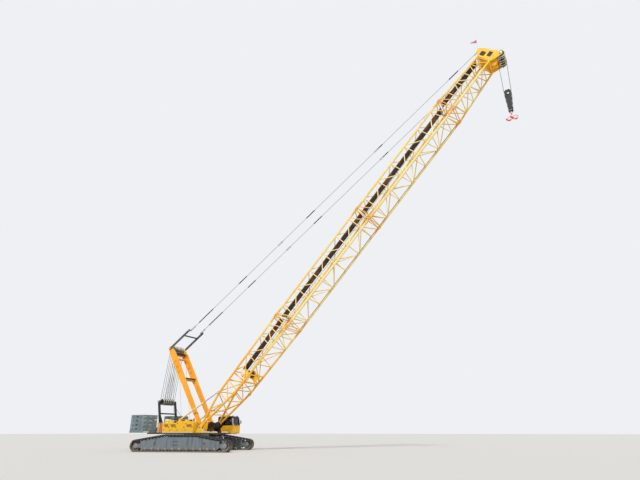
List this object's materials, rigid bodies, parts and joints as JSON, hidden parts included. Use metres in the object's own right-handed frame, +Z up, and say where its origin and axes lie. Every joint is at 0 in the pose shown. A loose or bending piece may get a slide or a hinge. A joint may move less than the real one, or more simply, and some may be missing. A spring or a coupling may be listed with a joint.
{
  "type": "crawler crane",
  "caption": "Crawler crane: long lattice boom held by a leaning mast and pendant stays, stacked counterweights, side cab, backstops and a hanging hook block.",
  "frame": {"origin": "on the floor, under the axis on which the upper works slews", "axes": "+X is the way the boom points, +Z is up, +Y is the operator's left; the tracks stand turned 18 degrees about +Z"},
  "size_m": [36.9149, 9.6181, 34.5516],
  "materials": {
    "crane_yellow": "satin",
    "mast_orange": "satin",
    "ballast_grey": "matte",
    "track_grey": "matte",
    "steel_grey": "satin",
    "dark_grey": "matte",
    "rope_grey": "matte",
    "grating_brown": "matte",
    "hook_red": "satin",
    "pennant_red": "matte",
    "glass_blue": "gloss"
  },
  "bodies": {
    "undercarriage": {"track_right": "track_grey", "track_left": "track_grey", "side_frame_right": "track_grey", "side_frame_left": "track_grey", "rollers_right": "steel_grey", "rollers_left": "steel_grey", "idler_right": "steel_grey", "idler_left": "steel_grey", "sprocket_right": "dark_grey", "sprocket_left": "dark_grey", "carbody": "track_grey", "jack_cylinders": "steel_grey", "slew_ring": "steel_grey"},
    "upper": {"deck": "crane_yellow", "house_right": "crane_yellow", "house_left": "crane_yellow", "engine": "dark_grey", "rear_bail": "mast_orange", "bail_sheaves": "rope_grey", "counterweight_tray": "ballast_grey", "counterweight_right": "ballast_grey", "counterweight_left": "ballast_grey", "hoist_winch": "dark_grey", "luffing_winch": "crane_yellow", "cab_shell": "crane_yellow", "cab_glass": "glass_blue", "cab_seat": "dark_grey"},
    "cab_door": {"cab_door": "crane_yellow", "cab_door_glass": "glass_blue"},
    "mast": {"mast": "mast_orange", "mast_sheaves": "rope_grey"},
    "pendants": {"pendant_links": "dark_grey", "pendant_stays": "steel_grey"},
    "boom": {"boom_butt": "crane_yellow", "boom_insert_lower": "crane_yellow", "boom_insert_upper": "crane_yellow", "boom_head": "crane_yellow", "boom_walkway": "grating_brown", "boom_winch": "dark_grey", "head_sheaves": "steel_grey", "pennant": "pennant_red"},
    "backstop_tubes": {"backstop_tubes": "crane_yellow"},
    "backstop_rods": {"backstop_rods": "steel_grey"},
    "hook_block": {"hook_falls": "rope_grey", "hook_block": "dark_grey"},
    "hook": {"hook": "hook_red"}
  },
  "joints": [
    {"name": "slew", "type": "hinge", "parent": "undercarriage", "child": "upper", "pos_m": [0, 0, 1.415], "axis": [0, 0, 1], "continuous": true},
    {"name": "boom_luff", "type": "hinge", "parent": "upper", "child": "boom", "pos_m": [1.39, 0, 2.02], "axis": [0, -1, 0], "range_deg": [-32, 30]},
    {"name": "mast_luff", "type": "hinge", "parent": "upper", "child": "mast", "pos_m": [0.95, 0, 2.35], "axis": [0, -1, 0], "range_deg": [-34.2, 32.1]},
    {"name": "pendant_swing", "type": "hinge", "parent": "mast", "child": "pendants", "pos_m": [-3.45841, 0, 9.32341], "axis": [0, -1, 0], "range_deg": [-2.1, 2.2]},
    {"name": "backstop_tilt", "type": "hinge", "parent": "upper", "child": "backstop_tubes", "pos_m": [-0.92, 0, 2.665], "axis": [0, -1, 0], "range_deg": [-20.7, 19.4]},
    {"name": "backstop_slide", "type": "slide", "parent": "backstop_tubes", "child": "backstop_rods", "axis": [0.8771, 0, 0.4802], "range_m": [-0.9, 0.95]},
    {"name": "hook_plumb", "type": "hinge", "parent": "boom", "child": "hook_block", "pos_m": [30.96988, 0, 32.27426], "axis": [0, -1, 0], "range_deg": [-30.2, 32.2]},
    {"name": "hook_swivel", "type": "hinge", "parent": "hook_block", "child": "hook", "pos_m": [30.96988, 0, 26.67426], "axis": [0, 0, 1], "continuous": true},
    {"name": "cab_door", "type": "hinge", "parent": "upper", "child": "cab_door", "pos_m": [1.374, 2.41, 2.2], "axis": [0, 0, 1], "range_deg": [0, 85]}
  ],
  "couplings": [
    {"joint": "mast_luff", "follows": "boom_luff", "ratio": 1.0602},
    {"joint": "pendant_swing", "follows": "boom_luff", "ratio": -0.0644},
    {"joint": "backstop_tilt", "follows": "boom_luff", "ratio": 0.6392},
    {"joint": "backstop_slide", "follows": "boom_luff", "m_per_rad": -1.6845},
    {"joint": "hook_plumb", "follows": "boom_luff", "ratio": -1}
  ]
}
